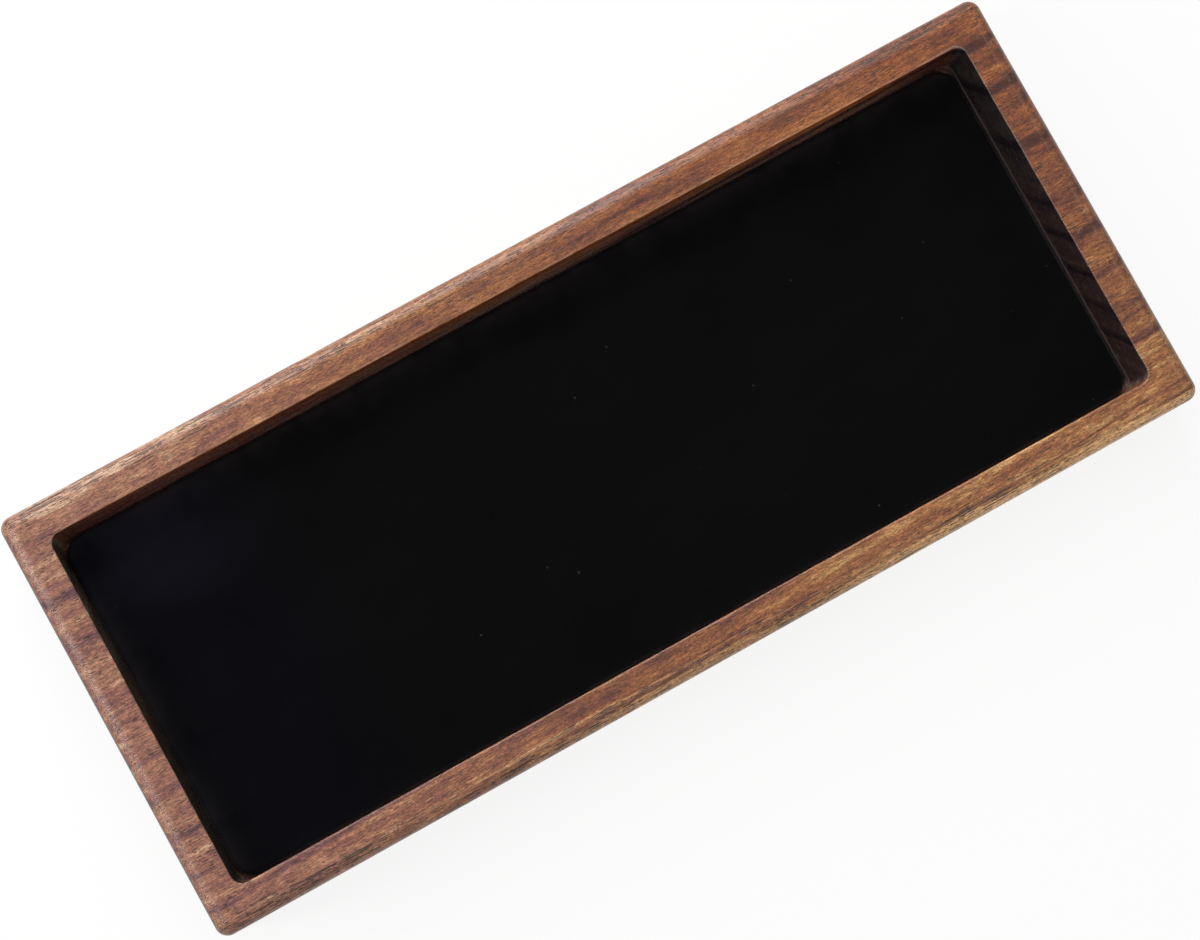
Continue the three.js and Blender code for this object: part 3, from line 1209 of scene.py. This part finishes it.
@dataclass
class TrayBody:
    """The walnut block with its milled pocket and the recesses for the feet."""

    node: str = "tray_body"
    rail_width: float = 8.2 * MM
    floor_thickness: float = 5.5 * MM
    corner_radius: float = 2.8 * MM
    top_roundover: float = 3.2 * MM
    bottom_roundover: float = 1.5 * MM
    pocket_corner_radius: float = 2.5 * MM
    lip_radius: float = 0.4 * MM
    fillet_radius: float = 1 * MM
    recess_radius: float = 6.3 * MM
    recess_depth: float = 1 * MM
    recess_chamfer: float = 0.2 * MM
    recess_steps: int = 64
    bottom_steps: int = 7
    side_steps: int = 5
    top_steps: int = 14
    rim_steps: int = 6
    lip_steps: int = 6
    wall_steps: int = 7
    fillet_steps: int = 8
    lip_ripple: float = 0.3
    lip_waves: tuple[int, ...] = (23, 41, 67, 97)
    lip_seed: int = 3
    top_share: float = 0.965
    top_ripple: float = 0.03
    top_waves: tuple[int, ...] = (5, 11, 19, 31)
    top_seed: int = 7
    side_wear: float = 0.05
    # The top edge's ridge is paler: partly wear, partly a painted highlight.
    ridge_wear_and_highlight: float = 0.25
    edge_wear_power: int = 6
    # Wear of the lip at its front, ends and back; the back lip's high value is a painted highlight.
    lip_wear_and_highlight: tuple[float, float, float] = (0.22, 0.0, 1.0)
    wall_wear: float = 0.02

    def lip_wear_and_highlight_round(self, outline: Outline) -> np.ndarray:
        """Wear and painted highlight of the lip at each sample: its front, end and back values, mixed by
        direction.

        Args:
            outline: The pocket's outline.

        Returns:
            The wear and painted highlight, from 0 to 1.
        """
        front, ends, back = self.lip_wear_and_highlight
        facing = outline.samples()[1][:, 1]
        return ends + (back - ends) * facing.clip(0, 1) + (front - ends) * (-facing).clip(0, 1)

    def lip_radii(self, outline: Outline) -> np.ndarray:
        """Radius of the hand-eased lip at each sample: a closed ripple about its own size."""
        waves = ripple(outline.travel(), self.lip_waves, self.lip_seed)
        return self.lip_radius * (1 + self.lip_ripple * waves)

    def roundover_radii(self, outline: Outline) -> np.ndarray:
        """Radius of the sanded top edge at each sample: a closed ripple a little under its size."""
        waves = ripple(outline.travel(), self.top_waves, self.top_seed)
        return self.top_roundover * (self.top_share + self.top_ripple * waves)

    def outer_profile(self, height: float, radii: np.ndarray) -> list[tuple]:
        """The side profile from the underside, up the outside and onto the rim.

        The top edge's wear and painted highlight grow with a high power of the share of its arc.

        Args:
            height: Height of the block.
            radii: Radius of the top edge at each sample.

        Returns:
            Inset, height and share of wear and painted highlight of each ring.
        """
        bottom = self.bottom_roundover
        low = arc((bottom, bottom), bottom, (-QUARTER_TURN, 0), self.bottom_steps)
        top = arc((radii, height - radii), radii, (0, QUARTER_TURN), self.top_steps)
        side = straight(low[-1], top[0], even(self.side_steps))
        edge = np.linspace(0, 1, len(top)) ** self.edge_wear_power * self.ridge_wear_and_highlight
        wear_and_highlight = [self.side_wear] * (len(low) + len(side)) + edge.tolist()
        return [(*ring, share) for ring, share in zip([*low, *side, *top], wear_and_highlight)]

    def pocket_profile(self, height: float, radii: np.ndarray, worn_and_lit: np.ndarray) -> list[tuple]:
        """The side profile from the lip, down the pocket wall to its floor.

        The lip's wear and painted highlight rise and fall over its arc as half a sine does.

        Args:
            height: Height of the block.
            radii: Radius of the lip at each sample.
            worn_and_lit: Wear and painted highlight of the lip at each sample.

        Returns:
            Inset from the pocket's wall, height and share of wear and painted highlight of each ring.
        """
        lip = arc((-radii, height - radii), radii, (QUARTER_TURN, math.pi), self.lip_steps)
        low = (self.fillet_radius, self.floor_thickness + self.fillet_radius)
        fillet = arc(low, self.fillet_radius, (0, -QUARTER_TURN), self.fillet_steps)
        wall = straight(lip[-1], fillet[0], even(self.wall_steps))
        wear_and_highlight = [worn_and_lit * math.sin(share) for share in np.linspace(0, math.pi, len(lip) + 2)[1:-1]]
        wear_and_highlight += [self.wall_wear] * (len(wall) + len(fillet))
        return [(*ring, share) for ring, share in zip([*lip, *wall, *fillet], wear_and_highlight)]

    def rings(self, profile: list[tuple], outline: Outline, base: float) -> tuple[np.ndarray, np.ndarray]:
        """Carries a side profile round an outline.

        Args:
            Inset, height and share of wear and painted highlight of each ring.
            outline: The outline.
            base: Height of the block's underside.

        Returns:
            Points, with a row for each ring, and their share of wear and painted highlight.
        """
        points = [lifted(outline.ring(inset), base + height) for inset, height, _ in profile]
        wear_and_highlight = [np.broadcast_to(share, len(points[0])) for _, _, share in profile]
        return np.stack(points), np.stack(wear_and_highlight)

    def build(self, foot_places: Sequence[Pair]) -> bpy.types.Object:
        """Makes the block.

        Args:
            foot_places: x and y of each foot.

        Returns:
            The object.
        """
        low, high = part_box(self.node)
        height = high.z - low.z
        rail = self.rail_width
        outer = Outline(high.x, high.y, self.corner_radius)
        inner = Outline(high.x - rail, high.y - rail, self.pocket_corner_radius)
        profile = self.outer_profile(height, self.roundover_radii(outer))
        outside, outside_wear_and_highlight = self.rings(profile, outer, low.z)
        profile = self.pocket_profile(height, self.lip_radii(inner), self.lip_wear_and_highlight_round(inner))
        inside, inside_wear_and_highlight = self.rings(profile, inner, low.z)
        shares = np.array(even(self.rim_steps))[:, None, None]
        rim = outside[-1] + (inside[0] - outside[-1]) * shares
        depth = (high.z - inside[..., 2]) / (height - self.floor_thickness)
        surface = Surface()
        rows = surface.add_points(
            np.concatenate([outside, rim, inside]),
            np.concatenate([outside_wear_and_highlight, np.zeros(rim.shape[:2]), inside_wear_and_highlight]),
            np.concatenate([np.zeros((len(outside) + len(rim), depth.shape[1])), depth]),
        )
        surface.add_bands(rows)
        surface.add_cap(rows[-1], up=True)
        holes = [self.add_recess(surface, place, low.z) for place in foot_places]
        surface.add_cap(rows[0], up=False, holes=holes)
        return surface.to_object("walnut_tray")

    def add_recess(self, surface: Surface, place: Pair, base: float) -> np.ndarray:
        """Adds the wall and the ceiling of one foot's recess.

        Args:
            surface: The mesh in the making.
            place: x and y of the recess's centre.
            base: Height of the block's underside.

        Returns:
            Indices of the points round its mouth.
        """
        radius, chamfer = self.recess_radius, self.recess_chamfer
        profile = ((radius + chamfer, 0.0), (radius, chamfer), (radius, self.recess_depth))
        rows = surface.add_points(turned(profile, place, base, self.recess_steps))
        surface.add_bands(rows[:, ::-1])
        surface.add_cap(rows[-1], up=False)
        return rows[0]


@dataclass
class VelvetLining:
    """The velvet, wrapped round the card with mitred turn-ins below."""

    node: str = "velvet_lining"
    card_node: str = "lining_board"
    cloth: float = 0.5 * MM
    corner_radius: float = 4.5 * MM
    least_radius: float = 0.3 * MM
    turn_in: float = 12 * MM
    slit_reach: float = 1.6 * MM
    under_shares: tuple[float, ...] = (0.3, 0.65, 1.0)
    below_shares: tuple[float, ...] = (0.0, 0.35, 0.7)
    inner_steps: int = 10
    outer_steps: int = 18
    pleat_depth: float = 0.09 * MM
    pleats: int = 5
    face_rings: int = 14
    face_start: float = 0.06
    face_power: float = 1.7
    middle_gap: float = 2 * MM
    sag: float = 0.05 * MM
    sag_waves: tuple[int, ...] = (3, 5, 8)
    sag_reach: float = 10 * MM
    # Painted sheen on the roll: everywhere, and more at the back, the left and both.
    roll_sheen: tuple[float, float, float, float] = (0.03, 0.35, 0.2, 1.3)
    roll_reach: float = 1.5 * MM
    # Painted sheen on the face, at the back and at the left.
    face_sheen: Pair = (0.05, 0.055)
    face_reach: float = 14 * MM

    def profile(self, thickness: float, turn_in: np.ndarray) -> list[tuple]:
        """The cloth's section, from its inner face round the card and back to its outer face.

        Args:
            thickness: Thickness of the lining.
            turn_in: How far in the cloth's edge lies at each sample.

        Returns:
            Inset, height, share of the pleats and share of the painted sheen for each ring.
        """
        middle = thickness / 2
        centre, cloth = (middle, middle), self.cloth
        inside = arc(centre, middle - cloth, (QUARTER_TURN, -QUARTER_TURN), self.inner_steps)
        under = straight((middle, cloth), (turn_in, cloth), self.under_shares)
        below = straight((turn_in, 0.0), (middle, 0.0), self.below_shares)
        turn = (-QUARTER_TURN, QUARTER_TURN)
        outside = arc(centre, middle, turn, self.outer_steps)
        pleated = np.cos(np.linspace(*turn, len(outside))).tolist()
        rings = [(*ring, 0.0, 0.0) for ring in (*inside, *under, *below)]
        return rings + [(*ring, share, share**2) for ring, share in zip(outside, pleated)]

    def face_insets(self, half_width: float, edge: float) -> list[float]:
        """Insets of the rings across the velvet's face, wider apart towards the middle."""
        shares = np.linspace(self.face_start, 1, self.face_rings)
        return [edge + (half_width - edge - self.middle_gap) * share**self.face_power for share in shares]

    def build(self) -> bpy.types.Object:
        """Makes the wrapped cloth.

        A pleat is (1 - cos(4 * pleats * angle)) / 2 deep, on the corners only. On the face the painted
        sheen fades with e to the power of -distance / reach, and a closed ripple makes it sag.

        Returns:
            The object.
        """
        low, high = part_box(self.node)
        edge = (high.z - low.z) / 2
        outline = Outline(high.x, high.y, self.corner_radius, self.least_radius)
        _, directions = outline.samples()
        on_corner = np.abs(directions).min(axis=1) > 0
        angles = np.arctan2(directions[:, 1], directions[:, 0])
        folds = np.where(on_corner, 1 - np.cos(4 * self.pleats * angles), 0) / 2
        turn_in = np.where(outline.corner_middles(), self.slit_reach, self.turn_in)
        back, left = directions[:, 1].clip(0, 1), (-directions[:, 0]).clip(0, 1)
        roll_sheen = np.dot(self.roll_sheen, [np.ones(len(back)), back, left, back * left])
        surface = Surface()
        rows = []
        for inset, height, share, painted_sheen in self.profile(high.z - low.z, turn_in):
            flat = outline.ring(inset + folds * share * self.pleat_depth)
            rows.append(surface.add_points(lifted(flat, low.z + height), np.maximum(painted_sheen, roll_sheen)))
        for inset in self.face_insets(high.y, edge):
            flat = outline.ring(inset)
            waves = ripple(outline.travel() + inset, self.sag_waves, int(inset / MM))
            dip = self.sag * (1 + waves) / 2 * min(1.0, (inset - edge) / self.sag_reach)
            painted_sheen = roll_sheen * math.exp((edge - inset) / self.roll_reach)
            inward = (high.y - edge - flat[:, 1], flat[:, 0] - low.x - edge)
            for amount, distance in zip(self.face_sheen, inward):
                painted_sheen += amount * np.exp(-distance / self.face_reach)
            rows.append(surface.add_points(lifted(flat, high.z - dip), painted_sheen))
        indices = np.stack(rows)
        surface.add_bands(indices)
        surface.add_cap(indices[0], up=False)
        surface.add_cap(indices[-1], up=True)
        return surface.to_object("velvet_wrap")

    def flat_cut(self) -> tuple[float, float, float]:
        """Width, length and area of the cloth before it was wrapped.

        Each side adds half of the roll's round at the cloth's middle and the turn-in, and each
        corner loses half of a square as wide as that turned part.

        Returns:
            The three sizes, in metres and square metres.
        """
        low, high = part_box(self.node)
        middle = (high.z - low.z) / 2
        part = math.pi * (middle - self.cloth / 2) + self.turn_in - middle
        width, length = (2 * (side - middle + part) for side in (high.y, high.x))
        return width, length, width * length - 4 * part**2 / 2


@dataclass
class Foot:
    """One moulded rubber foot in its recess."""

    node: str
    draft: float = 0.25 * MM
    edge_radius: float = 0.6 * MM
    edge_steps: int = 8
    hub_share: float = 0.5
    shoulder_share: float = 0.85
    shoulder_draft: float = 0.1
    top_ease: float = 0.15 * MM
    sides: int = 72

    def place(self) -> Pair:
        """x and y of the foot's centre."""
        low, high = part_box(self.node)
        return (low.x + high.x) / 2, (low.y + high.y) / 2

    def build(self) -> bpy.types.Object:
        """Makes the foot: a profile turned about its upright axis.

        Returns:
            The object.
        """
        low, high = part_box(self.node)
        radius = (high.x - low.x) / 2
        height = high.z - low.z
        base = radius - self.draft
        shoulder = radius - self.draft * self.shoulder_draft
        # A negative radius bends the arc outwards, since reach is counted from the axis here.
        centre = (base - self.edge_radius, self.edge_radius)
        profile = [
            (base * self.hub_share, 0.0),
            *arc(centre, -self.edge_radius, (QUARTER_TURN, 0), self.edge_steps),
            (shoulder, height * self.shoulder_share),
            (shoulder, height - self.top_ease),
            (radius - self.top_ease, height),
        ]
        surface = Surface()
        rows = surface.add_points(turned(profile, self.place(), low.z, self.sides))
        surface.add_bands(rows)
        surface.add_cap(rows[0], up=False)
        surface.add_cap(rows[-1], up=True)
        return surface.to_object(f"rubber_{self.node}")


@dataclass(frozen=True)
class Lamp:
    """An upright soft light that points at the tray: its name, place, width and height, and watts."""

    name: str
    place: tuple[float, float, float]
    size: Pair
    power: float

    def add(self) -> None:
        """Adds the light to the scene."""
        data = bpy.data.lights.new(self.name, "AREA")
        data.shape = "RECTANGLE"
        data.size, data.size_y = self.size
        data.energy = self.power
        light = show(self.name, data)
        light.location = self.place
        light.rotation_euler = (-light.location).to_track_quat("-Z", "Y").to_euler()


@dataclass
class Studio:
    """The floor, the soft lights, the surroundings and the camera."""

    camera_place: tuple[float, float, float] = (-62.98 * MM, -40.57 * MM, 659.16 * MM)
    camera_aim: tuple[float, float, float] = (-2.6 * MM, -1.75 * MM, 26 * MM)
    picture_up: float = math.radians(60.91)
    lens: float = 89.63
    nearest: float = 10 * MM
    lamps: tuple[Lamp, ...] = (
        Lamp("left_strip", (-0.7875, 0.168, 0.672), (0.16, 1.06), 4.6),
        Lamp("back_strip", (0.0315, 0.87885, 0.5733), (0.5, 1.2), 10.4),
    )
    floor_size: float = 6.0
    floor_grey: float = 0.93
    floor_glow: float = 0.88
    ambient: float = 0.4
    tilt: tuple[float, float, float] = (-0.3, 0.25, 0.0)

    def build(self) -> None:
        """Makes the whole studio."""
        self.add_camera()
        self.add_floor()
        self.add_world()
        for lamp in self.lamps:
            lamp.add()
        bpy.context.scene.view_settings.view_transform = "Standard"

    def add_camera(self) -> None:
        """Makes the camera, turned so that the picture's up runs along its compass direction."""
        place = Vector(self.camera_place)
        ahead = (Vector(self.camera_aim) - place).normalized()
        up_hint = Vector((math.cos(self.picture_up), math.sin(self.picture_up), 0))
        right = ahead.cross(up_hint).normalized()
        turn = Matrix((right, right.cross(ahead), -ahead)).transposed()
        data = bpy.data.cameras.new("camera")
        data.lens = self.lens
        data.clip_start = self.nearest
        camera = show("camera", data)
        camera.matrix_world = Matrix.Translation(place) @ turn.to_4x4()
        bpy.context.scene.camera = camera

    def add_floor(self) -> None:
        """Makes the floor: white to the camera, with a faint shadow, and pale to other light."""
        half = self.floor_size / 2
        corners = [(-half, -half, 0), (half, -half, 0), (half, half, 0), (-half, half, 0)]
        mesh = bpy.data.meshes.new("floor")
        mesh.from_pydata(corners, [], [(0, 1, 2, 3)])
        material = bpy.data.materials.new("white_floor")
        material.use_nodes = True
        material.node_tree.nodes.clear()
        graph = Graph(material.node_tree)
        path = graph.node("ShaderNodeLightPath")
        seen = graph.math("ADD", path.outputs["Is Camera Ray"], path.outputs["Is Glossy Ray"])
        pale = graph.made("ShaderNodeBsdfDiffuse", grey(self.floor_grey))
        glow = graph.made("ShaderNodeEmission")
        mixed = graph.made("ShaderNodeMixShader", graph.times(seen, self.floor_glow), pale, glow)
        graph.node("ShaderNodeOutputMaterial", mixed)
        mesh.materials.append(material)
        floor = show("floor", mesh)

    def add_world(self) -> None:
        """Makes the surroundings: white to the camera, dimmer to other light.

        To all but the camera they are brighter at the back left, by 1 + tilt . direction.
        """
        world = bpy.data.worlds.new("studio")
        world.use_nodes = True
        bpy.context.scene.world = world
        graph = Graph(world.node_tree)
        path = graph.node("ShaderNodeLightPath")
        direction = graph.node("ShaderNodeTexCoord").outputs["Generated"]
        tilt = graph.node("ShaderNodeVectorMath", direction, self.tilt, operation="DOT_PRODUCT")
        strength = graph.between(path.outputs["Is Glossy Ray"], (self.ambient, 1.0))
        strength = graph.times(strength, graph.math("ADD", tilt.outputs["Value"], 1.0))
        strength = graph.lean(strength, 1.0, path.outputs["Is Camera Ray"])
        graph.feed(world.node_tree.nodes["Background"], Strength=strength, Color=WHITE)


def dress(piece: bpy.types.Object, material: bpy.types.Material, slot: Slot) -> None:
    """Gives a piece its finish, logs its record slot, and lets it ride on the one body.

    Args:
        piece: The piece.
        material: Its material.
        slot: Its slot.
    """
    piece.data.materials.clear()
    piece.data.materials.append(material)
    if piece.parent is None:
        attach(piece, ROOT)
    LOG.info("%s has %d faces and the finish %s", piece.name, len(piece.data.polygons), slot.value)


def main() -> None:
    """Builds the studio, then each piece in order."""
    logging.basicConfig(level=logging.INFO, format="%(name)s: %(message)s")
    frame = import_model()
    nodes = frame["nodes"]
    Studio().build()

    feet = [Foot(name) for name in sorted(nodes) if name.startswith("foot_")]
    tray = TrayBody()
    body = tray.build([foot.place() for foot in feet])
    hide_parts(tray.node)
    dress(body, Walnut().material(), Slot.WALNUT)

    lining = VelvetLining()
    velvet = lining.build()
    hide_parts(lining.node)
    dress(velvet, Velvet().material(), Slot.VELVET)
    width, length, area = lining.flat_cut()

    dress(nodes[lining.card_node], GreyCard().material(), Slot.GREY_CARD)
    tape = TissueTape().material()
    for name in ("tape_front", "tape_back"):
        dress(nodes[name], tape, Slot.TAPE)
    rubber = FootRubber().material()
    for foot in feet:
        piece = foot.build()
        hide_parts(foot.node)
        dress(piece, rubber, Slot.FOOT_RUBBER)


if __name__ == "__main__":
    main()
